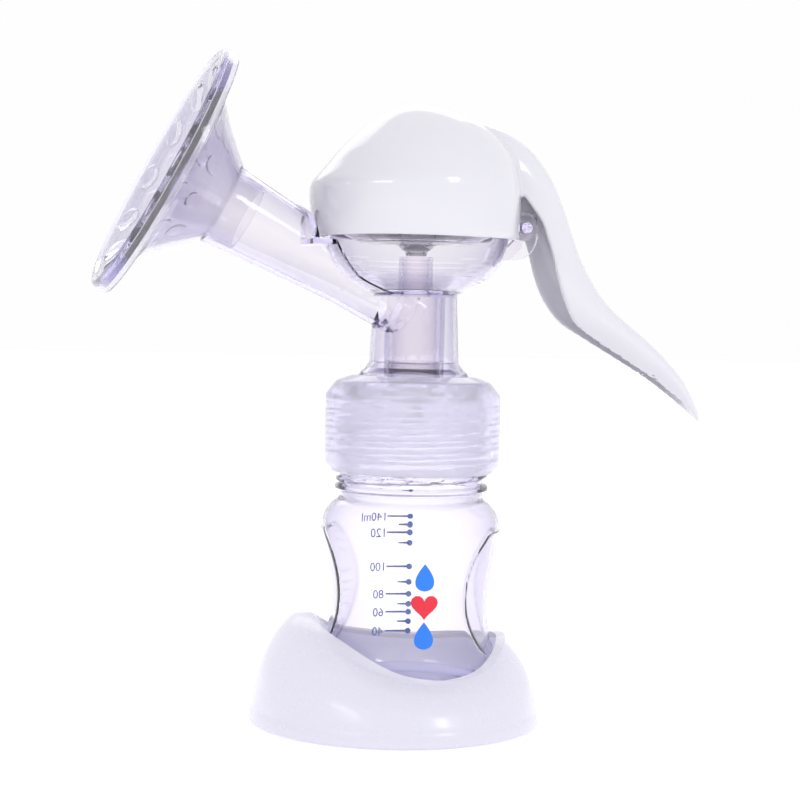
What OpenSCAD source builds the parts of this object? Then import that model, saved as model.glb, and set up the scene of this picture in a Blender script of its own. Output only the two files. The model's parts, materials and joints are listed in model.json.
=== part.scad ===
// Manual breast pump on its bottle and stand.
// Origin: on the bottle's axis, in the plane that the stand rests on.
// +Z up, the funnel points to -X, the handle's lever to +X.

/* [Stand] */
// Radius of the foot
stand_foot_r = 50.8; // [48:0.1:54]
// How far the dome's centre sits from the bottle's axis, along X
stand_off_x = -4.3; // [-5:0.1:0]
// How far the dome's centre sits from the bottle's axis, along Y
stand_off_y = 1.2; // [0:0.1:3]
// Turn of the wavy rim about the vertical
stand_turn = -16; // [-90:1:90]
// Thickness of the shell
stand_wall = 2.2; // [1.6:0.1:2.4]
// Height of the ribs that carry the bottle
seat_z = 10.3; // [8:0.1:12]

/* [Bottle] */
// Underside of the bottle above the table
bottle_z = 10.5; // [10.4:0.1:12]
// Radius of the bottle's body
bottle_r = 31.2; // [30:0.1:31.4]
// Height of the rim of the bottle's neck
bottle_top_z = 111; // [109:0.1:111]
// Outer radius of the neck, between the threads
neck_r = 25; // [24:0.1:25]
// Thickness of the bottle's wall
bottle_wall = 1.6; // [1:0.1:2]
// Turn of the two grip recesses about the vertical
bottle_turn = -22.5; // [-90:0.5:90]
// Depth of the grip recesses at their waist
grip_depth = 3.2; // [1:0.1:4]

/* [Thread] */
// Spacing of the ridges on the bottle's neck
thread_pitch = 4.2; // [4:0.1:4.6]
// Height of a ridge
thread_h = 1.4; // [1:0.1:1.5]
// Number of ridges
thread_count = 6; // [2:1:6]

/* [Collar] */
// Outer radius of the screw collar
collar_r = 30.6; // [30:0.1:33]
// Lower edge of the collar
collar_z = 86.5; // [86:0.1:88]
// Top of the collar
collar_top_z = 120; // [119.5:0.1:121]

/* [Pump body] */
// Tilt of the funnel's axis above the horizontal
funnel_tilt = 27.5; // [25:0.5:32]
// Height at which the funnel's axis meets the bottle's axis
funnel_root_z = 141.4; // [140:0.1:144]
// Distance along the funnel's axis to the plane of its rim
funnel_len = 101.2; // [95:0.5:110]
// Radius of the funnel's rim
funnel_rim_r = 43.8; // [42:0.1:45]
// Thickness of the pump body's wall
pump_wall = 1.8; // [1.4:0.1:2]
// Height of the bowl's rim
bowl_top_z = 171.4; // [170:0.1:172]
// Radius of the bowl at its rim
bowl_r = 31.9; // [31:0.1:32.2]

/* [Handle] */
// Radius of the hood
hood_r = 36.5; // [36:0.1:38]
// Thickness of the hood and of the lever
hood_wall = 1.6; // [1.2:0.1:1.8]
// Lower edge of the hood
hood_z = 167.2; // [167:0.1:169]
// Hinge: distance from the bottle's axis
hinge_x = 37; // [36.8:0.1:37.5]
// Hinge: height of the pin
hinge_z = 172; // [171:0.1:173]
// Radius of the hinge pin
pin_r = 2; // [1.8:0.1:2.2]

/* [Hidden] */
$fn = 96;
fit = 0.06;          // radial clearance of the two hinges
gap = 0.3;           // clearance between pieces that move apart

MILKY = [0.86, 0.84, 0.95, 0.85];
CLEAR = [0.86, 0.82, 0.92, 0.35];
SILICONE = [0.90, 0.88, 0.96, 0.5];
WHITE = [0.93, 0.92, 0.98];

// ---------- helpers ----------
// Catmull-Rom curve through the points p, n steps between neighbours.
function cr(a, b, c, d, t) =
    0.5 * (2 * b + (c - a) * t + (2 * a - 5 * b + 4 * c - d) * t * t + (3 * b - a - 3 * c + d) * t * t * t);
function curve(p, n = 3) = let (m = len(p) - 1)
    [for (i = [0:m - 1], k = [0:n - 1])
        cr(p[max(i - 1, 0)], p[i], p[i + 1], p[min(i + 2, m)], k / n), p[m]];
// Points of an arc, from angle a0 to a1.
function arc(c, r, a0, a1, n = 8) =
    [for (i = [0:n]) let (a = a0 + (a1 - a0) * i / n) c + r * [cos(a), sin(a)]];
// A path moved d to its left, and a path run backwards.
function left_normal(p, i) = let (a = p[max(i - 1, 0)], b = p[min(i + 1, len(p) - 1)], t = b - a)
    [-t[1], t[0]] / norm(t);
function moved(p, d) = [for (i = [0:len(p) - 1]) p[i] + d * left_normal(p, i)];
function reversed(p) = [for (i = [len(p) - 1:-1:0]) p[i]];

module ring(r_out, r_in, z0, z1) {
    translate([0, 0, z0]) difference() {
        cylinder(r = r_out, h = z1 - z0);
        translate([0, 0, -1]) cylinder(r = r_in, h = z1 - z0 + 2);
    }
}

// ---------- stand ----------
socket_r = 32.4;
socket_wall = 2;
socket_floor = 2;
dome_z = 35.8;       // top of the highest part of the rim
rim_r = 50;          // the rim is cut by a cylinder of this radius, lying front to back
rim_x = 7;           // where its lowest line runs, across the stand
rim_axis_z = 71.5;   // height of its axis
rim_slope = 4;       // the axis falls towards the front
DOME = [[50.2, 4.6], [49, 11], [46.5, 19.6], [41.6, 28], [35.2, 35.2]];
DOME_OUT = concat([[0, 0], [stand_foot_r, 0], [stand_foot_r, 3]], curve(DOME), [[34.4, dome_z], [0, dome_z]]);
DOME_IN = concat([[20, -1], [stand_foot_r - stand_wall, -1]],
                 [for (p = curve(concat([[50.8, 2]], DOME))) p - [stand_wall, stand_wall * 0.6]],
                 [[20, 34]]);

// The space above the rim, grown by extra on every side.
module above_rim(extra = 0) {
    translate([rim_x, 0, rim_axis_z]) rotate([90 + rim_slope, 0, 0])
        cylinder(r = rim_r + extra, h = 140, center = true);
}

module stand() {
    color(MILKY) difference() {
        translate([stand_off_x, stand_off_y, 0]) rotate(stand_turn) difference() {
            rotate_extrude() polygon(DOME_OUT);
            above_rim();
        }
        difference() {
            translate([stand_off_x, stand_off_y, 0]) rotate(stand_turn) difference() {
                rotate_extrude() polygon(DOME_IN);
                above_rim(stand_wall);
            }
            translate([0, 0, -2]) cylinder(r = socket_r + socket_wall, h = 50);
        }
        translate([0, 0, socket_floor]) difference() {
            cylinder(r = socket_r, h = 50);
            for (a = [0, 90]) rotate(a) translate([-socket_r - 1, -1.2, -1])
                cube([2 * socket_r + 2, 2.4, seat_z - socket_floor + 1]);
        }
    }
}

// ---------- bottle ----------
grip_z = 46.5;       // waist of the grips
grip_half = 20.5;    // half the height of a grip
grip_w = 21;         // half the width of a grip
SHOULDER = curve([[bottle_r, 58], [bottle_r + 0.4, 66], [30.6, 72.2], [28.2, 75.6], [neck_r, 78]]);
BOTTLE_OUT = concat([[0, bottle_z], [24.5, bottle_z]], arc([24.5, bottle_z + 6.7], 6.7, -80, 0, 5), SHOULDER,
                    [[neck_r, bottle_top_z - 0.6], [neck_r - 0.4, bottle_top_z], [0, bottle_top_z]]);
BOTTLE_IN = concat([[0, bottle_z + 2], [24.3, bottle_z + 2]], arc([24.3, bottle_z + 7.3], 5.3, -80, 0, 5),
                   moved(SHOULDER, bottle_wall),
                   [[neck_r - bottle_wall, 79], [neck_r - bottle_wall, bottle_top_z + 1],
                    [0, bottle_top_z + 1]]);

// The waisted space at each side that the grips are sunk into.
module grips(extra) {
    arc_r = (grip_half * grip_half + grip_depth * grip_depth) / (2 * grip_depth);
    waist = bottle_r - grip_depth - extra;
    rotate(bottle_turn) intersection() {
        rotate_extrude() translate([waist + arc_r, grip_z]) circle(r = arc_r, $fn = 180);
        translate([-60, -grip_w, grip_z - grip_half - 6]) cube([120, 2 * grip_w, 2 * grip_half + 12]);
    }
}

module bottle() {
    color(CLEAR) difference() {
        union() {
            rotate_extrude() polygon(BOTTLE_OUT);
            for (k = [0:thread_count - 1]) translate([0, 0, bottle_top_z - 5 - k * thread_pitch])
                rotate_extrude() polygon([[neck_r - 0.5, -1.3], [neck_r, -1], [neck_r + thread_h, -0.3],
                                          [neck_r + thread_h, 0.3], [neck_r, 1], [neck_r - 0.5, 1.3]]);
        }
        grips(0);
        difference() {
            rotate_extrude() polygon(BOTTLE_IN);
            grips(bottle_wall);
        }
    }
}

// ---------- collar ----------
collar_bore = neck_r + thread_h + 0.5;
collar_hole = 19.4;
collar_lid = 3.4;
COLLAR = concat([[collar_bore, collar_z], [27.9, collar_z], [collar_r - 0.3, collar_z + 3],
                 [collar_r, collar_z + 4.5], [collar_r, 112], [collar_r - 0.4, 114.4], [27.6, 117.3],
                 [24.6, 119.3], [22, collar_top_z], [collar_hole, collar_top_z],
                 [collar_hole, collar_top_z - collar_lid], [collar_bore, collar_top_z - collar_lid]]);

module collar() {
    color(MILKY) rotate_extrude() polygon(COLLAR);
}

// ---------- pump body ----------
flange_r = 25.8;
flange_z = 113.3;
flange_h = 3;
seal_h = 2;
skirt_r = 19;
pump_neck_r = 15.6;
nozzle_r = 10.5;     // tube inside the neck
nozzle_wall = 1.4;
nozzle_z = 125;
spigot_h = 7;        // its lower end, one step thinner, takes the valve
chimney_r = 6;
chimney_top = 160.6;
step_r = 38.6;       // the tube's roof is cut back to this radius, for the hood
step_z = 166;
ear_in = 6.5;
ear_w = 2.5;

BOWL = curve([[14.6, 148], [19.5, 150.4], [24.5, 153.3], [28.6, 158], [31, 163.4], [bowl_r, 167.5]]);
PUMP_OUT = concat([[0, flange_z], [flange_r, flange_z], [flange_r, flange_z + flange_h],
                   [skirt_r, flange_z + flange_h], [skirt_r, 120.8], [17, 122.6], [pump_neck_r, 124.8]],
                  BOWL, [[bowl_r, bowl_top_z], [0, bowl_top_z]]);
CONE = [[14.8, 23.6], [22.3, 15.2], [30.7, 7.6], [36.8, 4.4], [funnel_rim_r, 2.6]];
CONE_IN = [[13, 23.2], [20.7, 14], [29.5, 6], [36.2, 2.7], [funnel_rim_r - 0.8, 0.9]];
TUBE = [[10.9, 2], [10.9, 28], [12.9, 56], [14.3, 75]];

// A cone's points, given as radius and distance behind the rim, along the funnel's axis.
function from_rim(p) = [for (q = p) [q[0], funnel_len - q[1]]];

// Turns a shape drawn along +Z so that it lies along the funnel's axis.
module along_funnel() {
    translate([0, 0, funnel_root_z]) rotate([0, funnel_tilt - 90, 0]) children();
}

module ear() {
    translate([0, -ear_in, 0]) rotate([90, 0, 0]) linear_extrude(height = ear_w)
        polygon(concat([[26, 160.6]], arc([32.5, 169.6], 9, -90, 0), arc([37.5, 173.5], 4, 0, 90, 5),
                       [[33.2, 177.5], [33.2, 168]]));
}

module pump_outside() {
    rotate_extrude() polygon(PUMP_OUT);
    difference() {
        along_funnel() rotate_extrude() polygon(concat([[0, 2]], TUBE, curve(from_rim(CONE)),
            [[funnel_rim_r, funnel_len - 0.8], [0, funnel_len - 0.8]]));
        ring(step_r, bowl_r - 1, step_z, 190);
    }
    ear();
    mirror([0, 1, 0]) ear();
}

module bowl_inside() {
    difference() {
        rotate_extrude() polygon(concat([[0, 150.2], [15.5, 150.2]], moved(BOWL, pump_wall),
                                        [[bowl_r - pump_wall, bowl_top_z + 1], [0, bowl_top_z + 1]]));
        cylinder(r = chimney_r, h = chimney_top);
    }
}

module neck_inside() {
    difference() {
        rotate_extrude() polygon([[0, flange_z - 1], [17.2, flange_z - 1], [17.2, 118], [13.9, 124],
                                  [13, 147.2], [0, 147.2]]);
        translate([0, 0, nozzle_z]) cylinder(r = nozzle_r, h = 30);
        translate([0, 0, nozzle_z - spigot_h]) cylinder(r = nozzle_r - nozzle_wall, h = 30);
        along_funnel() cylinder(r = TUBE[0][0], h = 28);
    }
}

// The way from the cone to the nozzle: it runs below the bowl, and keeps clear of the hood's step.
module funnel_inside() {
    difference() {
        along_funnel() rotate_extrude() polygon(concat([[0, 3]], [for (p = TUBE) p + [-pump_wall, 1]],
            curve(from_rim(CONE_IN)), [[funnel_rim_r - 0.8, funnel_len + 2], [0, funnel_len + 2]]));
        ring(step_r + pump_wall, bowl_r - 2, step_z - pump_wall, 190);
        rotate_extrude() polygon(concat([[0, 147.2], [14.6, 147.2]], BOWL, [[bowl_r, 190], [0, 190]]));
    }
}

module pump_body() {
    color(CLEAR) difference() {
        pump_outside();
        bowl_inside();
        neck_inside();
        funnel_inside();
        cylinder(r = nozzle_r - 2 * nozzle_wall, h = 147.2);
        cylinder(r = chimney_r - nozzle_wall, h = 170);
        hinge_bore();
    }
}

module hinge_bore() {
    translate([hinge_x, 0, hinge_z]) rotate([90, 0, 0]) cylinder(r = pin_r + fit, h = 60, center = true);
}

// ---------- small soft parts ----------
module seal_ring() {
    color(SILICONE) ring(flange_r - 0.4, 20, flange_z - seal_h, flange_z);
}

valve_top = nozzle_z - 0.1;
valve_low = 106;
lip_w = 1.8;

module duckbill_valve() {
    inner = nozzle_r - nozzle_wall;
    color(SILICONE) difference() {
        union() {
            translate([0, 0, 117]) cylinder(r = nozzle_r, h = valve_top - 117);
            translate([0, 0, 116.2]) cylinder(r = nozzle_r + 0.8, h = 1.6);
            intersection() {
                translate([0, 0, valve_low]) cylinder(r = nozzle_r - 1, h = 12);
                wedge(lip_w, 2 * nozzle_r, 0);
            }
        }
        translate([0, 0, 117.8]) cylinder(r = inner + 0.02, h = 20);
        intersection() {
            translate([0, 0, valve_low + 1.2]) cylinder(r = nozzle_r - 2.4, h = 12);
            wedge(0.4, 2 * nozzle_r - 3, 1.2);
        }
    }
}

// A wedge that widens upwards from the valve's lips.
module wedge(low, high, lift) {
    translate([0, 20, 0]) rotate([90, 0, 0]) linear_extrude(height = 40)
        polygon([[-low / 2, valve_low + lift], [low / 2, valve_low + lift], [high / 2, 118.5], [-high / 2, 118.5]]);
}

// ---------- massage cushion ----------
cushion_t = 1.3;
cushion_tail = 33.6;  // how far its sleeve reaches behind the rim
lip_r = funnel_rim_r + 1.5;

module massage_cushion() {
    cone = curve(from_rim(CONE_IN));
    back = moved(cone, 0.4);
    front = [for (p = moved(cone, 0.4 + cushion_t)) if (p[0] < funnel_rim_r - 1.6) p];
    tail_r = (TUBE[2][0] + TUBE[3][0]) / 2 - pump_wall - 0.5;
    color(SILICONE) along_funnel() rotate_extrude() polygon(concat(
        [[tail_r, funnel_len - cushion_tail]], back,
        [[lip_r - 1.2, funnel_len - 0.4], [lip_r - 1.2, funnel_len - 4], [lip_r, funnel_len - 4],
         [lip_r, funnel_len + 0.2]],
        arc([lip_r - 1.2, funnel_len + 0.2], 1.2, 20, 90, 4), reversed(front),
        [[tail_r - 1.1, funnel_len - cushion_tail]]));
}

// ---------- diaphragm and its stem ----------
web_t = 1.2;
lip_t = 0.7;
stem_r = 2.5;
stem_z = 163.2;
bar_r = 2;
hook_z = hinge_z;
WEB = curve([[29.6, 172.9], [27.6, 171.6], [24.8, 169], [20, 167], [13, 166.4], [7.5, 166.3]]);

module diaphragm() {
    color(SILICONE) difference() {
        rotate_extrude() polygon(concat(
            [[29.6, bowl_top_z + 0.05], [bowl_r + 0.05, bowl_top_z + 0.05], [bowl_r + 0.05, 168.6],
             [bowl_r + lip_t, 168.6], [bowl_r + lip_t, 173], [29.6, 173]],
            WEB, [[0, 166.3], [0, 160.9], [3.3, 160.9], [3.6, 162.4], [7, 165.2]],
            reversed([for (p = WEB) if (p[0] > 7.6) p - [0, web_t]])));
        translate([0, 0, stem_z - 0.1]) cylinder(r = stem_r + 0.1, h = 10);
        translate([0, 0, stem_z - 0.1]) cylinder(r = stem_r + 1.3, h = 1.3);
    }
}

module diaphragm_stem() {
    color(WHITE) {
        translate([0, 0, stem_z]) cylinder(r = stem_r, h = hook_z - stem_z);
        translate([0, 0, stem_z]) cylinder(r = stem_r + 1.2, h = 1.1);
        translate([0, 0, hook_z]) rotate([90, 0, 0]) cylinder(r = bar_r, h = 15, center = true);
    }
}

// ---------- handle ----------
hood_x = -0.8;       // the hood sits a little behind the bowl's axis
hook_in = 3.2;
hook_w = 2.4;
hook_r = 4.2;
knuckle_r = 4.4;
cheek_t = 2;
HOOD = concat([[hood_r, 183.6]], curve([[35.6, 186.6], [31, 192], [26.4, 197.7], [20.4, 203.5], [13, 209.4],
                                        [7, 212.4], [0, 213.6]]));
LEVER_TOP = curve([[4, 212.6], [17, 209.8], [31, 204.8], [39.5, 199.4], [46.6, 190.4], [51.4, 180.5],
                   [54.8, 171.5], [59.2, 161], [66, 150.2], [76.5, 140], [87.5, 131.8], [97.3, 122.5],
                   [103, 115], [107.2, 107]], 2);
LEVER_LOW = curve([[106, 106.6], [96, 115.2], [80.5, 124.6], [66.5, 132.8], [57, 140.5], [50.6, 149.4],
                   [47.4, 158.5], [44.3, 165.4], [36, 168.6]], 2);
LEVER_PLAN = curve([[6, 5], [16, 11.6], [30, 13], [60, 12.6], [84, 11.4], [99, 8.6], [106, 4.6], [107.6, 0]]);

module side_plate(outline, y0, y1) {
    translate([0, y1, 0]) rotate([90, 0, 0]) linear_extrude(height = y1 - y0) polygon(outline);
}

// The lever's outside, or with an inset the channel in it, which is open towards the bottle.
module lever(inset) {
    below = inset > 0 ? [[90, 90], [20, 120], [4, 168]] : concat(LEVER_LOW, [[33.5, 178], [6, 204]]);
    half_plan = [for (p = LEVER_PLAN) if (p[1] > inset + 1 || inset == 0) [p[0] - inset, p[1] - inset]];
    intersection() {
        side_plate(concat(moved(LEVER_TOP, -inset), below), -20, 20);
        translate([0, 0, 80]) linear_extrude(height = 150)
            polygon(concat(half_plan, reversed([for (p = half_plan) if (p[1] > 0) [p[0], -p[1]]])));
    }
}

module hood(inset) {
    translate([hood_x, 0, 0]) rotate_extrude() polygon(concat([[0, hood_z - inset], [hood_r - inset, hood_z - inset]],
        [for (p = HOOD) [max(p[0] - inset, 0), p[1] - inset]]));
}

// The web that carries the hinge, between the ears.
module hinge_web() {
    difference() {
        intersection() {
            union() {
                lever(0);
                hood(0);
            }
            side_plate(concat(arc([hinge_x, hinge_z], knuckle_r, 150, 380, 12), [[46, 196], [36, 202]]),
                       -ear_in + gap, ear_in - gap);
        }
        hinge_bore();
    }
}

// One of the two hooks that hold the stem's cross bar.
module hook() {
    difference() {
        intersection() {
            hood(0);
            side_plate(concat(arc([0, hook_z], hook_r, 180, 360, 12), [[7, 213], [-7, 213]]),
                       hook_in, hook_in + hook_w);
        }
        translate([0, 0, hook_z]) rotate([90, 0, 0]) cylinder(r = bar_r + fit, h = 20, center = true);
    }
}

module handle() {
    color(WHITE) {
        difference() {
            union() {
                hood(0);
                lever(0);
            }
            hood(hood_wall);
            lever(cheek_t);
        }
        hinge_web();
        hook();
        mirror([0, 1, 0]) hook();
    }
}

module hinge_pin() {
    color(WHITE) translate([hinge_x, 0, hinge_z]) rotate([90, 0, 0]) cylinder(r = pin_r, h = 20, center = true);
}

stand();
bottle();
collar();
seal_ring();
pump_body();
duckbill_valve();
massage_cushion();
diaphragm();
diaphragm_stem();
handle();
hinge_pin();
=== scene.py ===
"""Looks of a manual breast pump: clear bottle and pump body, milky collar and stand, glossy white
handle and silicone cushion. Lengths are in millimetres and turned into metres when a mesh is made."""

import json
import math

import bmesh
import bpy
import numpy as np
from mathutils import Matrix, Vector


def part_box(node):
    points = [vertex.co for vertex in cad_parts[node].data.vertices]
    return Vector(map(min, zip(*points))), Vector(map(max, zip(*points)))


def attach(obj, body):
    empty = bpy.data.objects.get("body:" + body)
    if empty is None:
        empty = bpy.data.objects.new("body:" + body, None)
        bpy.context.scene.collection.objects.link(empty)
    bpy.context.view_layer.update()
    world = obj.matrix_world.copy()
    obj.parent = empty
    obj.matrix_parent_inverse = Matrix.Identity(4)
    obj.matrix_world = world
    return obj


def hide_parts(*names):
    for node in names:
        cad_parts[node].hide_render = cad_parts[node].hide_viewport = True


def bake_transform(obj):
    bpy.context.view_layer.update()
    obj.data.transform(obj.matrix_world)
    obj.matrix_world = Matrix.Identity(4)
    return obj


MM = 0.001
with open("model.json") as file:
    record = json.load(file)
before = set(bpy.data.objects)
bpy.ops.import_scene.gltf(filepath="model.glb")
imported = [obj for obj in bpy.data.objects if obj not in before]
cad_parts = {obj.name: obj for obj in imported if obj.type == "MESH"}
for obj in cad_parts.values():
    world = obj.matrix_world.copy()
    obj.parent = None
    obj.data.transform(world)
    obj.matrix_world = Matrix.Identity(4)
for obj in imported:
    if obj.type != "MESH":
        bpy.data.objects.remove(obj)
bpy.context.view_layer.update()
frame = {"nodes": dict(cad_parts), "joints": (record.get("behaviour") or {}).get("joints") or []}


def low(node):
    """Lowest corner of a CAD node, in millimetres."""
    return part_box(node)[0] / MM


def high(node):
    """Highest corner of a CAD node, in millimetres."""
    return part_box(node)[1] / MM


def joint(name):
    return next(j for j in frame["joints"] if j["name"] == name)


def pivot(name):
    """Where a hinge's axis passes, in millimetres."""
    return Vector(joint(name)["pos_m"]) / MM


# ---------- curves and meshes ----------
def spline(points, steps=6):
    """Catmull-Rom curve through points of any dimension, with steps pieces between neighbours."""
    p = np.array(points, float)
    p = np.vstack([2 * p[0] - p[1], p, 2 * p[-1] - p[-2]])
    out = []
    for a, b, c, d in zip(p, p[1:], p[2:], p[3:]):
        for k in range(steps):
            t = k / steps
            out.append(0.5 * (2 * b + (c - a) * t + (2 * a - 5 * b + 4 * c - d) * t ** 2
                              + (3 * b - a - 3 * c + d) * t ** 3))
    return np.array(out + [p[-2]])


def rounded(corners, steps=4):
    """An open path of (r, z, fillet radius) corners, each rounded by an arc-like curve."""
    out = []
    for i, (r, z, f) in enumerate(corners):
        here = np.array([r, z], float)
        if f == 0 or i in (0, len(corners) - 1):
            out.append(here)
            continue
        before = np.array(corners[i - 1][:2], float) - here
        after = np.array(corners[i + 1][:2], float) - here
        reach = min(f, 0.45 * np.linalg.norm(before), 0.45 * np.linalg.norm(after))
        start = here + before / np.linalg.norm(before) * reach
        end = here + after / np.linalg.norm(after) * reach
        for k in range(steps + 1):
            t = k / steps
            out.append((1 - t) ** 2 * start + 2 * t * (1 - t) * here + t ** 2 * end)
    return np.array(out)


def mesh_object(name, verts, faces):
    """A smooth-shaded object from points in millimetres; creases over 40 degrees stay sharp."""
    mesh = bpy.data.meshes.new(name)
    mesh.from_pydata((np.array(verts) * MM).tolist(), [], faces)
    mesh.validate()
    bm = bmesh.new()
    bm.from_mesh(mesh)
    bmesh.ops.remove_doubles(bm, verts=bm.verts, dist=1e-6)
    bmesh.ops.recalc_face_normals(bm, faces=bm.faces)
    bm.to_mesh(mesh)
    bm.free()
    mesh.shade_smooth()
    mesh.set_sharp_from_angle(angle=math.radians(40))
    obj = bpy.data.objects.new(name, mesh)
    bpy.context.scene.collection.objects.link(obj)
    return obj


def skin(name, grid, closed=False):
    """Mesh over rows of points that each run round. A closed skin joins its last row to its first;
    otherwise both ends are covered by a fan."""
    rows, n = grid.shape[:2]
    verts = grid.reshape(-1, 3).tolist()
    faces = []
    for i in range(rows if closed else rows - 1):
        a = i * n
        b = (i + 1) % rows * n
        faces += [(a + j, a + (j + 1) % n, b + (j + 1) % n, b + j) for j in range(n)]
    if not closed:
        for row in (0, rows - 1):
            verts.append(grid[row].mean(axis=0).tolist())
            faces += [(row * n + j, row * n + (j + 1) % n, len(verts) - 1) for j in range(n)]
    return mesh_object(name, verts, faces)


def revolved(profile, around, point):
    """Rows of points round an axis: point(i, r, z, angle) places each point of the (r, z) profile."""
    grid = np.zeros((len(profile), around, 3))
    for i, (r, z) in enumerate(profile):
        for j in range(around):
            grid[i, j] = point(i, r, z, 2 * math.pi * j / around)
    return grid


def turned(r, z, a):
    """A point at radius r and height z, turned by a about +Z."""
    return (r * math.cos(a), r * math.sin(a), z)


def lathe(name, profile, around=128):
    """A closed profile of (r, z) turned about +Z."""
    return skin(name, revolved(profile, around, lambda i, r, z, a: turned(r, z, a)), closed=True)


def smoothstep(t):
    t = min(max(t, 0.0), 1.0)
    return t * t * (3 - 2 * t)


def applied(obj, sharp=40):
    """Replaces the object's mesh with the result of its modifiers."""
    graph = bpy.context.evaluated_depsgraph_get()
    obj.data = bpy.data.meshes.new_from_object(obj.evaluated_get(graph))
    obj.modifiers.clear()
    obj.data.shade_smooth()
    obj.data.set_sharp_from_angle(angle=math.radians(sharp))
    return obj


# ---------- materials ----------
def plastic(name, tint, deep, rough, clear=0.0, ior=1.49, grain=0.0, coat=0.0, glow=0.0, painted_glow=0.0,
            absorb=None, edge=None):
    """A moulded plastic or silicone: slow drift between two tints, uneven polish and fine grain.
    light is a painted glow: an emission that makes a milky one look lit from within, standing in for
    what it would scatter inside, and absorb is the colour and density, per metre, that a clear one takes
    from rays passing through. edge is a painted shade: a darker tint that a clear one's colour turns to
    where its wall turns away from the view."""
    material = bpy.data.materials.new(name)
    material.use_nodes = True
    nodes, links = material.node_tree.nodes, material.node_tree.links
    shader = nodes["Principled BSDF"]
    place = nodes.new("ShaderNodeTexCoord")

    def noise(scale, detail):
        node = nodes.new("ShaderNodeTexNoise")
        node.inputs["Scale"].default_value = scale
        node.inputs["Detail"].default_value = detail
        links.new(place.outputs["Object"], node.inputs["Vector"])
        return node.outputs["Fac"]

    ramp = nodes.new("ShaderNodeValToRGB")
    ramp.color_ramp.elements[0].position = 0.15
    ramp.color_ramp.elements[0].color = (*deep, 1)
    ramp.color_ramp.elements[1].position = 0.85
    ramp.color_ramp.elements[1].color = (*tint, 1)
    links.new(noise(30, 1), ramp.inputs["Fac"])
    colour = ramp.outputs["Color"]
    # Painted shade: where a clear part's wall turns away from the view, its colour is mixed towards the
    # darker edge tint.
    if edge:
        edge_shade_weight = nodes.new("ShaderNodeLayerWeight")
        edge_shade_weight.inputs["Blend"].default_value = 0.25
        turned = nodes.new("ShaderNodeMix")
        turned.data_type = "RGBA"
        turned.inputs["B"].default_value = (*edge, 1)
        links.new(edge_shade_weight.outputs["Facing"], turned.inputs["Factor"])
        links.new(colour, turned.inputs["A"])
        colour = turned.outputs["Result"]
    links.new(colour, shader.inputs["Base Color"])

    polish = nodes.new("ShaderNodeMapRange")
    polish.inputs["To Min"].default_value = rough * 0.7
    polish.inputs["To Max"].default_value = rough * 1.3
    links.new(noise(260, 4), polish.inputs["Value"])
    links.new(polish.outputs["Result"], shader.inputs["Roughness"])

    if grain:
        bump = nodes.new("ShaderNodeBump")
        bump.inputs["Strength"].default_value = grain
        bump.inputs["Distance"].default_value = 0.0002
        links.new(noise(700, 2), bump.inputs["Height"])
        links.new(bump.outputs["Normal"], shader.inputs["Normal"])

    shader.inputs["Transmission Weight"].default_value = clear
    shader.inputs["IOR"].default_value = ior
    shader.inputs["Coat Weight"].default_value = coat
    shader.inputs["Coat Roughness"].default_value = 0.08
    if glow:
        shader.inputs["Subsurface Weight"].default_value = glow
        shader.inputs["Subsurface Radius"].default_value = (1.0, 0.95, 1.0)
        shader.inputs["Subsurface Scale"].default_value = 0.003
    # Painted light: a pale lilac emission makes the part glow though it is no lamp, standing in for light
    # scattered inside.
    if painted_glow:
        shader.inputs["Emission Color"].default_value = (0.88, 0.87, 1, 1)
        shader.inputs["Emission Strength"].default_value = painted_glow
    if absorb:
        volume = nodes.new("ShaderNodeVolumeAbsorption")
        volume.inputs["Color"].default_value = (*absorb[0], 1)
        volume.inputs["Density"].default_value = absorb[1]
        links.new(volume.outputs["Volume"], nodes["Material Output"].inputs["Volume"])
    return material


# Lower than the real plastics', so that light isn't trapped between the many close walls.
CLEAR_IOR = 1.2
WHITE = plastic("white_gloss", (0.70, 0.695, 0.745), (0.685, 0.68, 0.735), 0.16,
                grain=0.03, coat=0.5, glow=0.1)
# The clear parts' edge tint is painted shade, darker where the wall turns away from the view.
CLEAR = plastic("clear_gloss", (0.995, 0.978, 0.982), (0.985, 0.965, 0.975), 0.02,
                clear=1.0, ior=CLEAR_IOR, grain=0.01, coat=0.7,
                absorb=((0.55, 0.50, 0.80), 48), edge=(0.46, 0.44, 0.64))
# The stand's milky plastic gets a painted glow from its emission.
MILKY = plastic("milky_satin", (0.49, 0.48, 0.55), (0.485, 0.475, 0.545), 0.26,
                grain=0.01, coat=0.15, painted_glow=0.27)
# Painted light: the inside of the stand's socket is a brighter, bluer copy of the milky plastic with a
# stronger painted glow.
SOCKET_PAINTED_LIGHT = plastic("milky_socket_painted_light", (0.64, 0.69, 0.86), (0.62, 0.67, 0.85), 0.3,
                 grain=0.01, coat=0.1, painted_glow=0.34)
# The collar gets a faint painted glow from its emission.
FROSTED = plastic("frosted_satin", (0.95, 0.94, 0.995), (0.94, 0.93, 0.99), 0.115,
                  clear=0.72, ior=1.22, grain=0.01, coat=0.3, painted_glow=0.04, absorb=((0.62, 0.58, 0.90), 45))
# The silicone's edge tint is painted shade too.
SOFT = plastic("clear_silicone_skin", (0.985, 0.975, 0.99), (0.97, 0.96, 0.985), 0.08,
               clear=0.93, ior=CLEAR_IOR, grain=0.02, coat=0.5,
               absorb=((0.60, 0.56, 0.84), 26), edge=(0.62, 0.60, 0.78))
BLUE = plastic("blue_ink", (0.02, 0.22, 0.85), (0.01, 0.18, 0.78), 0.35, grain=0.05)
RED = plastic("red_ink", (0.8, 0.02, 0.05), (0.72, 0.015, 0.04), 0.35, grain=0.05)


def dress(obj, material, body, node=None):
    """Gives a new piece its material and body, and hides the CAD node that it stands for."""
    obj.data.materials.clear()
    obj.data.materials.append(material)
    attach(obj, body)
    if node:
        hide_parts(node)
    return obj


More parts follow.
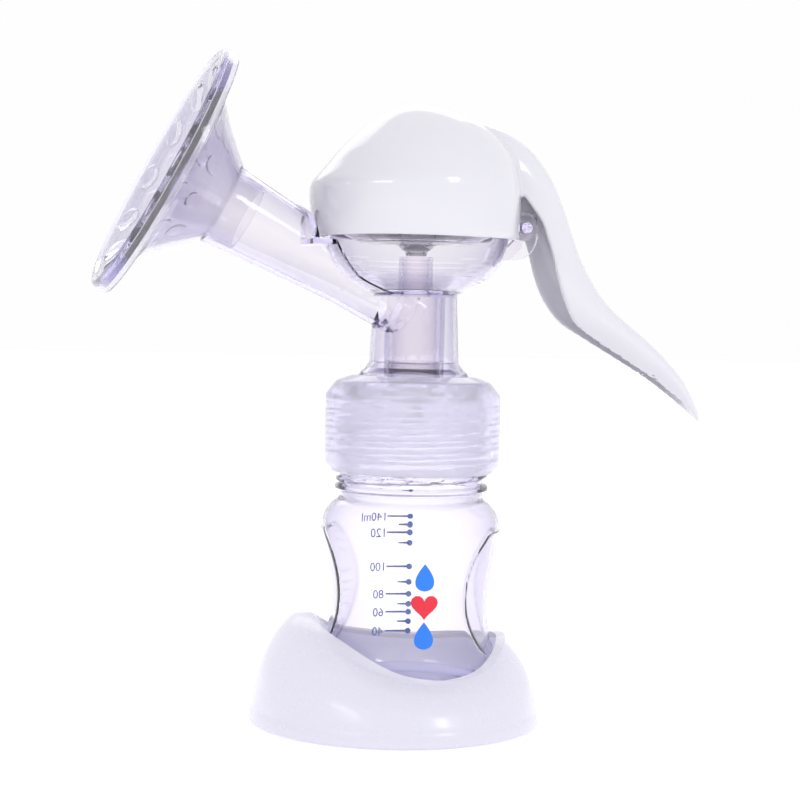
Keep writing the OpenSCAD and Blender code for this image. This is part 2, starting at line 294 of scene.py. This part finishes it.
# ---------- stand ----------
STAND_CENTRE = (-4.3, 1.2)
CREST_TURN = math.radians(-16)
# Height of the wavy rim every 45 degrees from the crest at the handle's side.
RIM_HEIGHTS = [29.5, 27, 24.5, 28, 36.3, 31.5, 20.8, 20.4]
FOOT_R = 50.8
SHELL = 2.2
SOCKET_R = 32.4
DOME = spline([[50.2, 0], [49.2, 0.2], [46.9, 0.48], [42.6, 0.75], [38.2, 0.92], [35.4, 0.99]], 5)


def rim_height(angle):
    t = ((angle - CREST_TURN) / (math.pi / 4)) % 8
    k = int(t)
    a, b, c, d = (RIM_HEIGHTS[(k + i) % 8] for i in (-1, 0, 1, 2))
    return spline([[a], [b], [c], [d]], 20)[20 + round((t - k) * 20)][0]


def make_stand():
    around = 160
    rows = []
    for j in range(around):
        a = 2 * math.pi * j / around
        h = rim_height(a)
        seat = [(10, 2, 0), (SOCKET_R - 3, 2, 0), (SOCKET_R, 2.6, 0), (SOCKET_R, h - 2.2, 0)]
        foot, lift = 4.6, h - 4.6
        outside = [(r, foot + lift * t) for r, t in reversed(DOME)]
        lip = [(SOCKET_R + 0.5, h - 0.7), (SOCKET_R + 1.7, h)]
        inside = [(r - SHELL, foot + lift * t - 1.4) for r, t in DOME[:-6]]
        path = [(p[0], p[1], 0) for p in seat] + [(*p, 0) for p in lip] + [(*p, 1) for p in outside]
        path += [(FOOT_R, 3.4, 1), (FOOT_R, 0.6, 1), (FOOT_R - 0.6, 0, 1), (FOOT_R - SHELL, 0, 1)]
        path += [(*p, 1) for p in inside]
        path += [(SOCKET_R + 2, h - 4.5, 0), (SOCKET_R + 2, 0.4, 0), (SOCKET_R + 1.6, 0, 0), (10, 0, 0)]
        line = []
        for r, z, of_dome in path:
            cx, cy = STAND_CENTRE if of_dome else (0, 0)
            line.append((cx + r * math.cos(a), cy + r * math.sin(a), z))
        rows.append(line)
    grid = np.transpose(np.array(rows), (1, 0, 2))
    stand = dress(skin("stand_shell", grid), MILKY, "stand", "stand")
    stand.data.materials.append(SOCKET_PAINTED_LIGHT)
    # Faces inside the socket take the painted-light copy of the milky plastic, and so do the ribs on its
    # floor.
    for face in stand.data.polygons:
        if math.hypot(face.center.x, face.center.y) < (SOCKET_R + 0.1) * MM and face.center.z > 1.5 * MM:
            face.material_index = 1
    ribs = []
    seat_z = low("bottle").z - 0.2
    for turn in (0, math.pi / 2):
        c, s = math.cos(turn), math.sin(turn)
        section = rounded([(-1.2, 1.6, 0), (-1.2, seat_z, 0.5), (1.2, seat_z, 0.5), (1.2, 1.6, 0)], 2)
        ring = [[(x * c - y * s, x * s + y * c, z) for y, z in section]
                for x in np.linspace(-SOCKET_R - 0.5, SOCKET_R + 0.5, 9)]
        ribs.append(skin("stand_rib_" + str(len(ribs)), np.array(ring)))
    for rib in ribs:
        dress(rib, SOCKET_PAINTED_LIGHT, "stand")


# ---------- bottle ----------
BOTTLE_LOW = low("bottle").z
BOTTLE_TOP = high("bottle").z
BOTTLE_R = 31.3
NECK_R = 25
BOTTLE_WALL = 1.6
GRIP_TURN = math.radians(-22.5)
GRIP_DEPTH = 3.9
PITCH = 4.2
THREAD_H = 1.5


def grip(angle, z):
    """Depth of the two waisted grips."""
    across = 1 - ((z - 45.5) / 23.8) ** 2
    if across <= 0 or abs(z - 41) > 25:
        return 0
    half = math.radians(46) * math.sqrt(across)
    off = abs((angle - GRIP_TURN + math.pi / 2) % math.pi - math.pi / 2)
    if off >= half:
        return 0
    waist = 0.35 + 0.65 * math.cos(math.pi / 2 * (z - 41) / 25) ** 2
    return GRIP_DEPTH * waist * (1 - (off / half) ** 4) * smoothstep(across * 3)


def thread(angle, z, start, end):
    """Height of a helical ridge with soft crests between two heights."""
    phase = ((z / PITCH - angle / (2 * math.pi)) % 1) - 0.5
    crest = smoothstep(1.6 - abs(phase) * 5.2)
    return crest * smoothstep((z - start) / 2) * smoothstep((end - z) / 2)


def make_bottle():
    heel = [(12, BOTTLE_LOW + 1.4), (20, BOTTLE_LOW + 0.9), (24, BOTTLE_LOW)]
    body = [(26.6, BOTTLE_LOW + 0.2), (28.8, BOTTLE_LOW + 1.5), (30.4, BOTTLE_LOW + 4),
            (BOTTLE_R, BOTTLE_LOW + 8)]
    side = [(BOTTLE_R, z) for z in np.arange(BOTTLE_LOW + 9.5, 60, 0.9)]
    shoulder = [(31.4, 61), (31.5, 65), (31.1, 69), (29.9, 72.4), (27.6, 75.3), (25.4, 77.2), (NECK_R, 79)]
    neck = [(NECK_R, z) for z in np.arange(79.6, BOTTLE_TOP - 1, 0.36)]
    brim = [(NECK_R - 0.1, BOTTLE_TOP - 0.4), (NECK_R - 0.6, BOTTLE_TOP)]
    wall = np.vstack([spline(heel + body, 4), side, spline(shoulder, 5)])
    outer = np.vstack([wall, neck, brim])
    inner = [(max(r - BOTTLE_WALL, 8), z + (BOTTLE_WALL if z < BOTTLE_LOW + 3 else 0)) for r, z in wall]
    inner += [(NECK_R - BOTTLE_WALL, z) for z in (84, 92, 100, BOTTLE_TOP - 1)]
    inner += [(NECK_R - BOTTLE_WALL + 0.4, BOTTLE_TOP)]
    count = len(outer)
    profile = np.vstack([outer, inner[::-1]])

    def point(i, r, z, a):
        ridge = THREAD_H * thread(a, z, 79.5, BOTTLE_TOP - 3) if i < count else 0
        bead = 1.8 * smoothstep(1.5 - abs(z - 81.2) / 0.9) if i < count else 0
        return turned(r - (grip(a, z) if r > 26 else 0) + max(ridge, bead), z, a)

    dress(skin("bottle_shell", revolved(profile, 192, point)), CLEAR, "bottle", "bottle")


# ---------- print on the bottle ----------
FACING = math.radians(74)     # direction of the wall that carries the volume scale
WALL_Z = [50, 60, 61, 65, 69, 72.4]
WALL_R = [BOTTLE_R, BOTTLE_R, 31.4, 31.5, 31.1, 29.9]
INK_GAP = 0.05
LONG_MARKS = {25.3: "40", 32.3: "60", 38.9: "80", 49: "100", 61.3: "120", 66.9: "140ml"}
SHORT_MARKS = [28.8, 35.2, 43.3, 57.6, 64]


def wrapped(obj, facing, across, z):
    """Bends a flat piece of ink, drawn in its own x and y, round the bottle's wall."""
    for v in obj.data.vertices:
        x, y, depth = v.co / MM
        a = facing + (x + across) / BOTTLE_R
        r = float(np.interp(z + y, WALL_Z, WALL_R)) + INK_GAP + depth
        v.co = Vector((r * math.cos(a), r * math.sin(a), z + y)) * MM
    return obj


def ink_shape(name, outline, facing, across, z, material):
    """A closed outline as a thin layer of ink."""
    n = len(outline)
    mid = np.mean(outline, axis=0)
    verts, faces = [], []
    rings = (1.0, 0.66, 0.33)
    for d in (0, 0.06):
        for k in rings:
            verts += [(*(mid + (np.array(p) - mid) * k), d) for p in outline]
        verts.append((*mid, d))
    layer = len(rings) * n + 1
    for side in (0, layer):
        for k in range(len(rings) - 1):
            a, b = side + k * n, side + (k + 1) * n
            faces += [(a + j, a + (j + 1) % n, b + (j + 1) % n, b + j) for j in range(n)]
        last = side + (len(rings) - 1) * n
        faces += [(last + j, last + (j + 1) % n, side + layer - 1) for j in range(n)]
    faces += [(j, (j + 1) % n, layer + (j + 1) % n, layer + j) for j in range(n)]
    obj = wrapped(mesh_object(name, verts, faces), facing, across, z)
    return dress(obj, material, "bottle")


def digits(text, z):
    curve = bpy.data.curves.new("scale_" + text, "FONT")
    curve.body = text
    curve.size = 4.4 * MM
    curve.extrude = 0.03 * MM
    curve.align_x = "RIGHT"
    source = bpy.data.objects.new("source", curve)
    bpy.context.scene.collection.objects.link(source)
    graph = bpy.context.evaluated_depsgraph_get()
    mesh = bpy.data.meshes.new_from_object(source.evaluated_get(graph))
    bpy.data.objects.remove(source)
    obj = bpy.data.objects.new("scale_" + text, mesh)
    bpy.context.scene.collection.objects.link(obj)
    width = max(v.co.x for v in mesh.vertices) - min(v.co.x for v in mesh.vertices)
    for v in mesh.vertices:
        v.co.x += width
    wrapped(obj, FACING, 9.6, z - 1.6)
    dress(obj, BLUE, "bottle")


def bar(length, half):
    """Outline of a stroke with round ends and a dot at its start."""
    left = [(length, half * s) for s in (-1, 1)]
    dot = [(1.1 * math.cos(a), 1.1 * math.sin(a)) for a in np.radians(range(20, 341, 32))]
    return [left[1]] + dot + [left[0]]


def make_print():
    for i, (z, text) in enumerate(LONG_MARKS.items()):
        ink_shape("tick_long_" + str(i), bar(8.6, 0.28), FACING, 0, z, BLUE)
        digits(text, z)
    for i, z in enumerate(SHORT_MARKS):
        ink_shape("tick_short_" + str(i), bar(4.2, 0.22), FACING, 0, z, BLUE)
    turn = np.radians(range(0, 360, 15))
    drop = [(4.3 * math.sin(a) * math.sin(a / 2) ** 1.1, 4.6 * math.cos(a)) for a in turn]
    heart = [(0.29 * 16 * math.sin(a) ** 3,
              0.29 * (13 * math.cos(a) - 5 * math.cos(2 * a) - 2 * math.cos(3 * a) - math.cos(4 * a)))
             for a in turn]
    front = FACING + math.pi
    for i, (outline, z, ink) in enumerate([(drop, 34, BLUE), (heart, 44, RED), (drop, 53.5, BLUE)]):
        ink_shape("mark_" + str(i), outline, front, 5.2, z, ink)


# ---------- collar ----------
COLLAR_LOW = low("collar").z
COLLAR_TOP = high("collar").z
COLLAR_R = 30.6
COLLAR_BORE = 26.95


def make_collar():
    bore = [(COLLAR_BORE, z) for z in np.arange(COLLAR_LOW + 1, COLLAR_TOP - 5, 0.42)]
    outside = rounded([(COLLAR_BORE, COLLAR_LOW + 0.4, 0), (COLLAR_BORE + 0.4, COLLAR_LOW, 0.3),
                       (28.1, COLLAR_LOW, 0.5), (COLLAR_R, COLLAR_LOW + 3.2, 0.9), (COLLAR_R, 100, 0),
                       (COLLAR_R, 113.2, 0.9), (27, 118, 0.9), (24.2, 119, 0.8), (21.4, COLLAR_TOP, 0.5),
                       (19.4, COLLAR_TOP, 0.3), (19.4, COLLAR_TOP - 3.4, 0.3),
                       (COLLAR_BORE, COLLAR_TOP - 3.4, 0)])
    profile = np.vstack([outside, bore[::-1]])

    def point(i, r, z, a):
        ridge = 0.7 * thread(a + math.pi, z, COLLAR_LOW + 4, COLLAR_TOP - 7) if i >= len(outside) else 0
        return turned(r - ridge, z, a)

    collar = skin("collar_shell", revolved(profile, 160, point), closed=True)
    dress(collar, FROSTED, "collar", "collar")


# ---------- funnel's cushion ----------
# The cushion slides off along the funnel's axis.
TILT = math.asin(joint("cushion_pull")["axis"][2])
ROOT_Z = 141.4
RIM_S = 101.2
RIM_R = 43.8
CONE_IN = [[13, -23.2], [20.7, -14], [29.5, -6], [36.2, -2.7], [RIM_R - 0.8, -0.9]]
CUSHION_T = 1.3
# Rings of raised dots: radius of the ring, radius of a dot, how many, turn as a share of their spacing.
DOTS = [(34.6, 4.6, 12, 0), (26.6, 3.6, 12, 0.5), (20.6, 2.7, 10, 0)]


def on_funnel(r, a, s):
    """A point at radius r and angle a about the funnel's axis, s from where it meets the bottle's axis."""
    x, y = r * math.cos(a), r * math.sin(a)
    return (x * math.sin(TILT) - s * math.cos(TILT), y, ROOT_Z + x * math.cos(TILT) + s * math.sin(TILT))


def dot_height(r, a):
    """Height of the massage dots, which are domes with a clear edge."""
    for ring, size, count, turn in DOTS:
        if abs(r - ring) < size:
            step = 2 * math.pi / count
            off = (a / step - turn + 0.5) % 1 - 0.5
            away = math.hypot(r - ring, off * step * ring) / size
            if away < 1:
                return 1.2 * (1 - away ** 4) ** 0.5
    return 0


def offset(path, d):
    """A path of (r, s) moved d to its left."""
    p = np.array(path)
    t = np.gradient(p, axis=0)
    t /= np.linalg.norm(t, axis=1)[:, None]
    return p + d * np.column_stack([-t[:, 1], t[:, 0]])


def make_cushion():
    cone = spline([[12.2, -26.4], *CONE_IN], 14)
    cone[:, 1] += RIM_S
    back = offset(cone, 0.3)
    front = offset(cone, 0.3 + CUSHION_T)
    sleeve = np.array([[11.3, RIM_S - 33.6], [11.5, RIM_S - 31.6], [11.5, RIM_S - 30.2],
                       [11.9, RIM_S - 28]])
    lip_r = RIM_R + 1.5
    lip = rounded([(RIM_R - 0.4, RIM_S - 0.5, 0), (lip_r - 1.1, RIM_S - 0.5, 0.2),
                   (lip_r - 1.1, RIM_S - 4.2, 0.3), (lip_r - 0.1, RIM_S - 4.4, 0.3), (lip_r, RIM_S - 1, 0),
                   (lip_r - 0.2, RIM_S + 0.8, 1),
                   (lip_r - 1.6, RIM_S + 1.6, 1), (RIM_R - 2, RIM_S + 0.9, 0)], 4)
    front = front[front[:, 0] < RIM_R - 2.6]
    path = np.vstack([sleeve + [0.3, 0], back, lip, front[::-1], sleeve[::-1] - [0.8, 0]])
    dotted = range(len(sleeve) + len(back) + len(lip), len(path) - len(sleeve))
    along = np.gradient(path, axis=0)
    along /= np.maximum(np.linalg.norm(along, axis=1), 1e-9)[:, None]

    def point(i, r, s, a):
        up = dot_height(r, a) if i in dotted else 0
        return on_funnel(r + up * along[i, 1], a, s - up * along[i, 0])

    cushion = skin("massage_cushion_skin", revolved(path, 300, point), closed=True)
    dress(cushion, SOFT, "cushion", "massage_cushion")


# ---------- handle ----------
HOOD_X = -0.8
HOOD_WALL = 1.6
RIM_CLEAR = 33     # the hood's wall stays outside the diaphragm's rim
NOSE_SIDE = spline([[33.6, 167.2], [34.1, 168.2], [35.3, 172], [36.4, 177.5], [36.7, 183],
                    [35.8, 186.4], [31.2, 192], [26.4, 197.7], [20.4, 203.5], [13, 209.4],
                    [7, 212.4], [0.6, 213.6]], 5)
LEVER_SIDE = spline([[36, 167.2], [36.4, 168.4], [36.5, 172], [36.6, 178], [36.5, 184],
                     [36, 188], [34.6, 193.4], [31.2, 199.4], [26, 204.4], [18.6, 208.8],
                     [9.4, 212.3], [0.6, 213.6]], 5)
# Stations along the lever: top x, top z, edge x, edge z, half width, how far the edges tuck in.
LEVER = [[12, 210.6, 22, 196, 10, 0], [24, 207.4, 30, 189, 12.4, 0], [31.2, 204.6, 34, 184, 13.2, 0],
         [39.6, 199.2, 38, 178.8, 13.5, 0], [46.7, 190.2, 41.5, 174.2, 13.5, 0],
         [51.5, 180.4, 43.6, 169, 13.4, 0], [54.9, 171.4, 45.6, 163.6, 13.3, 0],
         [59.3, 161, 47.8, 155.5, 13.1, 0], [66, 150.4, 50.8, 147.6, 12.9, 0.1],
         [72, 144, 56, 139.6, 12.7, 0.35], [78.8, 138.6, 64.5, 133.8, 12.3, 0.55],
         [87.8, 131.6, 76.5, 126.9, 11.5, 0.62], [97.6, 122.3, 89.4, 119.2, 9.6, 0.6],
         [103.3, 114.8, 98.8, 112.6, 7, 0.5], [107.2, 108.4, 105, 107.4, 3.6, 0.3],
         [108.8, 104.8, 108, 104.6, 0.9, 0]]
LEVER_WALL = 2.1


def hood_side(angle, k, inset):
    """Radius and height of point k of the hood's side, which turns from the nose's to the lever's."""
    share = smoothstep((1 + math.cos(angle)) / 2)
    r, z = NOSE_SIDE[k] * (1 - share) + LEVER_SIDE[k] * share
    inside = RIM_CLEAR + 1.2 * share if inset and z < 184 else 0.3
    return max(r - inset, inside), z - inset * smoothstep((z - 180) / 8)


def make_hood():
    """The hood's shell, with an opening towards the lever for the hinge."""
    count = len(NOSE_SIDE)
    around = 128
    grid = np.zeros((2 * count, around, 3))
    for k in range(count):
        for j in range(around):
            a = 2 * math.pi * j / around
            for row, inset in ((k, 0), (2 * count - 1 - k, HOOD_WALL)):
                r, z = hood_side(a, k, inset)
                grid[row, j] = (HOOD_X + r * math.cos(a), r * math.sin(a), z)
    hood = skin("handle_shell", grid, closed=True)

    corners = [(x, y, z) for x in (30, 44) for y in (-11.2, 11.2) for z in (160, 181)]
    sides = [(0, 1, 3, 2), (4, 6, 7, 5), (0, 4, 5, 1), (2, 3, 7, 6), (0, 2, 6, 4), (1, 5, 7, 3)]
    opening = mesh_object("opening", corners, sides)
    cut = hood.modifiers.new("opening", "BOOLEAN")
    cut.object = opening
    applied(hood)
    bpy.data.objects.remove(opening)
    return hood


def make_lever():
    """The lever: an arch over an open channel, drawn along its stations."""
    arch = np.linspace(-math.pi / 2, math.pi / 2, 33)
    verts, faces = [], []
    stations = spline(LEVER, 6)
    for tx, tz, ex, ez, half, tuck in stations:
        top, edge = np.array([tx, tz]), np.array([ex, ez])
        tall = np.linalg.norm(top - edge)
        for wall in (0, LEVER_WALL):
            keep = max(1 - 1.15 * wall / tall, 0.15) if wall else 1
            wide = max(half - wall, 0.1 * half)
            for a in arch:
                side = math.copysign(abs(math.sin(a)) ** 0.62, a)
                up = abs(math.cos(a)) ** 0.62
                p = edge + (top - edge) * up * keep
                verts.append((p[0], wide * side * (1 - tuck * (1 - up) ** 2), p[1]))
    n = len(arch)
    for i in range(len(stations) - 1):
        a, b = 2 * n * i, 2 * n * (i + 1)
        for shift in (0, n):
            faces += [(a + shift + j, a + shift + j + 1, b + shift + j + 1, b + shift + j)
                      for j in range(n - 1)]
        faces += [(a + j, a + j + n, b + j + n, b + j) for j in (0, n - 1)]
    for end in (0, 2 * n * (len(stations) - 1)):
        faces += [(end + j, end + j + 1, end + n + j + 1, end + n + j) for j in range(n - 1)]
    return mesh_object("lever", verts, faces)


def make_handle():
    hood = make_hood()
    lever = make_lever()
    joined = hood.modifiers.new("join", "BOOLEAN")
    joined.operation = "UNION"
    joined.object = lever
    applied(hood)
    bpy.data.objects.remove(lever)
    remesh = hood.modifiers.new("remesh", "REMESH")
    remesh.mode = "VOXEL"
    remesh.voxel_size = 0.62 * MM
    soften = hood.modifiers.new("soften", "SMOOTH")
    soften.factor = 0.5
    soften.iterations = 10
    applied(hood, 80)
    dress(hood, WHITE, "handle", "handle")


def ring_plate(name, centre, inner, outer, y0, y1, tail):
    """A knuckle round a bore, with a tail of (x, z) corners that runs up into the hood."""
    steps = 32
    verts, faces = [], []
    for y in (y0, y1):
        for r in (inner, outer):
            verts += [(centre[0] + r * math.cos(2 * math.pi * k / steps), y,
                       centre[1] + r * math.sin(2 * math.pi * k / steps)) for k in range(steps)]
    for k in range(steps):
        m = (k + 1) % steps
        faces += [(k, m, steps + m, steps + k), (2 * steps + k, 3 * steps + k, 3 * steps + m, 2 * steps + m),
                  (k, 2 * steps + k, 2 * steps + m, m), (steps + k, steps + m, 3 * steps + m, 3 * steps + k)]
    base = len(verts)
    verts += [(x, y, z) for y in (y0, y1) for x, z in tail]
    n = len(tail)
    faces += [tuple(range(base, base + n)), tuple(range(base + 2 * n - 1, base + n - 1, -1))]
    faces += [(base + k, base + (k + 1) % n, base + n + (k + 1) % n, base + n + k) for k in range(n)]
    return mesh_object(name, verts, faces)


def make_hinge_parts():
    x, _, z = pivot("handle_squeeze")
    stem_x, _, stem_z = pivot("stem_swing")
    web = ring_plate("handle_web", (x, z), 2.06, 4.4, -6.2, 6.2,
                     [(x - 3, z + 3), (x + 3, z + 3), (x + 6, z + 16), (x - 2, z + 24), (x - 5, z + 20)])
    dress(web, WHITE, "handle")
    for side, y in (("near", -5.6), ("far", 3.2)):
        hook = ring_plate("handle_hook_" + side, (stem_x, stem_z), 2.06, 4.2, y, y + 2.4,
                          [(stem_x + dx, stem_z + dz) for dx, dz in ((-3, 3), (3, 3), (6, 39), (-6, 39))])
        dress(hook, WHITE, "handle")


# ---------- small soft parts ----------
BOWL_TOP = 171.4
WEB = spline([[29.6, 172.9], [27.6, 171.6], [24.8, 169], [20, 167], [13, 166.4], [7.2, 166.3]], 4)
SECTORS = 12


def make_diaphragm():
    rim = rounded([(29.7, BOWL_TOP + 0.1, 0), (31.9, BOWL_TOP + 0.1, 0.1), (31.98, 168.6, 0.1),
                   (32.6, 168.6, 0.25), (32.6, 173, 0.5), (29.5, 173.2, 0.5)], 3)
    dress(lathe("diaphragm_rim", rim), SOFT, "pump", "diaphragm")
    boss = rounded([(2.6, 163.3, 0), (2.6, 161.2, 0), (3.4, 161, 0.2), (3.8, 162.6, 0.4), (7.2, 165.4, 0.6),
                    (7.8, 166.6, 0.4), (5, 167.6, 0.6), (2.6, 167.4, 0)], 3)
    dress(lathe("diaphragm_boss", boss, 64), SOFT, "stem")
    step = 2 * math.pi / SECTORS
    fine = 9
    for k in range(SECTORS):
        verts = []
        ripple = [0.35 * math.cos(r * 0.8) * smoothstep((r - 9) / 4) * smoothstep((27 - r) / 4)
                  for r, _ in WEB]
        for under in (0, 1.1):
            for (r, z), wave in zip(WEB, ripple):
                for m in range(fine):
                    a = step * (k + m / (fine - 1))
                    verts.append((r * math.cos(a), r * math.sin(a), z + wave - under))
        rows = len(WEB)
        faces = []
        for side in (0, rows * fine):
            faces += [(side + i * fine + m, side + i * fine + m + 1, side + (i + 1) * fine + m + 1,
                       side + (i + 1) * fine + m) for i in range(rows - 1) for m in range(fine - 1)]
        for m in (0, fine - 1):
            faces += [(i * fine + m, (i + 1) * fine + m, (rows + i + 1) * fine + m, (rows + i) * fine + m)
                      for i in range(rows - 1)]
        for i in (0, rows - 1):
            faces += [(i * fine + m, i * fine + m + 1, (rows + i) * fine + m + 1, (rows + i) * fine + m)
                      for m in range(fine - 1)]
        web = mesh_object("diaphragm_web_" + str(k), verts, faces)
        web.data.materials.append(SOFT)
        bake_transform(web)


def make_valve_and_seal():
    top = high("duckbill_valve").z
    foot = low("duckbill_valve").z

    def oval(wide, thick, z):
        """A row round the valve. The wedge's lips run front to back."""
        return [(thick * math.copysign(abs(math.sin(a)) ** 0.9, math.sin(a)), wide * math.cos(a), z)
                for a in np.linspace(0, 2 * math.pi, 64, endpoint=False)]

    outer = [(10.4, 10.4, top), (10.4, 10.4, 117.8), (11.2, 11.2, 117.6), (11.2, 11.2, 116.4),
             (10.3, 10.3, 116.2), (10.1, 8.2, 114), (9.9, 5.2, 111), (9.8, 2.6, 108),
             (9.7, 1, foot + 0.3), (9.5, 0.75, foot)]
    inner = [(8.9, 0.22, foot), (8.8, 0.3, 107), (8.6, 1.8, 109.5), (8.6, 4.4, 112), (8.7, 7.4, 115),
             (9.1, 9.1, 117.4), (9.15, 9.15, top)]
    grid = np.array([oval(*row) for row in outer + inner])
    dress(skin("duckbill", grid, closed=True), SOFT, "pump", "duckbill_valve")
    z0, z1 = low("seal_ring").z, high("seal_ring").z
    ring = rounded([(20.3, z0 + 0.3, 0.2), (20.1, z1 - 0.1, 0.3), (22, z1 - 0.3, 0.3), (23, z1, 0.3),
                    (25.2, z1 - 0.1, 0.4), (25.4, z0 + 0.2, 0.4), (23.4, z0, 0.3),
                    (22, z0 + 0.4, 0.3), (20.3, z0 + 0.3, 0)], 3)[:-1]
    dress(lathe("seal", ring), SOFT, "pump", "seal_ring")


def keep_nodes():
    """The CAD parts that stay get their finish."""
    for node, material in (("pump_body", CLEAR), ("hinge_pin", CLEAR), ("diaphragm_stem", WHITE)):
        obj = frame["nodes"][node]
        obj.data.materials.clear()
        obj.data.materials.append(material)


# ---------- studio ----------
FLOOR_HALF = 6000
FLOOR_Z = -0.4
CAMERA_AWAY = 650
CAMERA_HEIGHT = 139.5


def make_studio():
    scene = bpy.context.scene
    scene.view_settings.view_transform = "Standard"
    corners = ((-1, -1), (1, -1), (1, 1), (-1, 1))
    floor = mesh_object("floor", [(FLOOR_HALF * x, FLOOR_HALF * y, FLOOR_Z) for x, y in corners],
                        [(0, 1, 2, 3)])
    pale = plastic("pale_floor", (0.96, 0.96, 0.97), (0.95, 0.95, 0.965), 0.7)
    shader = pale.node_tree.nodes["Principled BSDF"]
    shader.inputs["Emission Color"].default_value = (1, 1, 1, 1)
    shader.inputs["Emission Strength"].default_value = 0.2
    floor.data.materials.append(pale)

    world = bpy.data.worlds.new("studio")
    world.use_nodes = True
    scene.world = world
    nodes, links = world.node_tree.nodes, world.node_tree.links
    # White all round, a trace of lilac low down.
    place = nodes.new("ShaderNodeTexCoord")
    height = nodes.new("ShaderNodeSeparateXYZ")
    ramp = nodes.new("ShaderNodeValToRGB")
    ramp.color_ramp.elements[0].position = 0.3
    ramp.color_ramp.elements[0].color = (0.99, 0.99, 0.995, 1)
    ramp.color_ramp.elements[1].position = 0.95
    ramp.color_ramp.elements[1].color = (0.99, 0.985, 1, 1)
    links.new(place.outputs["Generated"], height.inputs["Vector"])
    links.new(height.outputs["Z"], ramp.inputs["Fac"])
    links.new(ramp.outputs["Color"], nodes["Background"].inputs["Color"])

    def softbox(name, at, size, power):
        data = bpy.data.lights.new(name, "AREA")
        data.shape = "RECTANGLE"
        data.size, data.size_y = size
        data.energy = power
        lamp = bpy.data.objects.new(name, data)
        lamp.location = at
        lamp.rotation_mode = "QUATERNION"
        lamp.rotation_quaternion = (Vector((0, 0, 0.12)) - Vector(at)).to_track_quat("-Z", "Y")
        scene.collection.objects.link(lamp)

    softbox("key", (0.55, -1.1, 0.75), (0.22, 0.36), 2.0)
    softbox("fill", (-0.9, -0.7, 0.6), (0.45, 0.12), 0.9)
    softbox("back", (0.1, 1.2, 1.0), (1.2, 0.8), 2.8)


def make_camera():
    """The view that the object is judged from: slightly left of its front, at the collar's height."""
    azimuth, yaw, pitch, roll = map(math.radians, (-16.16, 0.4, 2.485, 1.243))
    heading = azimuth + yaw
    level = math.cos(pitch)
    forward = Vector((-math.sin(heading) * level, math.cos(heading) * level, -math.sin(pitch)))
    right = Vector((forward.y, -forward.x, 0)).normalized()
    up = right.cross(forward)
    x = right * math.cos(roll) + up * math.sin(roll)
    y = up * math.cos(roll) - right * math.sin(roll)
    matrix = Matrix((x, y, -forward)).transposed().to_4x4()
    place = Vector((CAMERA_AWAY * math.sin(azimuth), -CAMERA_AWAY * math.cos(azimuth), CAMERA_HEIGHT))
    matrix.translation = place * MM
    data = bpy.data.cameras.new("camera")
    data.lens = 84
    data.clip_start = 0.05
    camera = bpy.data.objects.new("camera", data)
    camera.matrix_world = matrix
    bpy.context.scene.collection.objects.link(camera)
    bpy.context.scene.camera = camera


make_camera()
make_studio()
make_stand()
make_bottle()
make_print()
make_collar()
make_cushion()
make_handle()
make_hinge_parts()
make_diaphragm()
make_valve_and_seal()
keep_nodes()
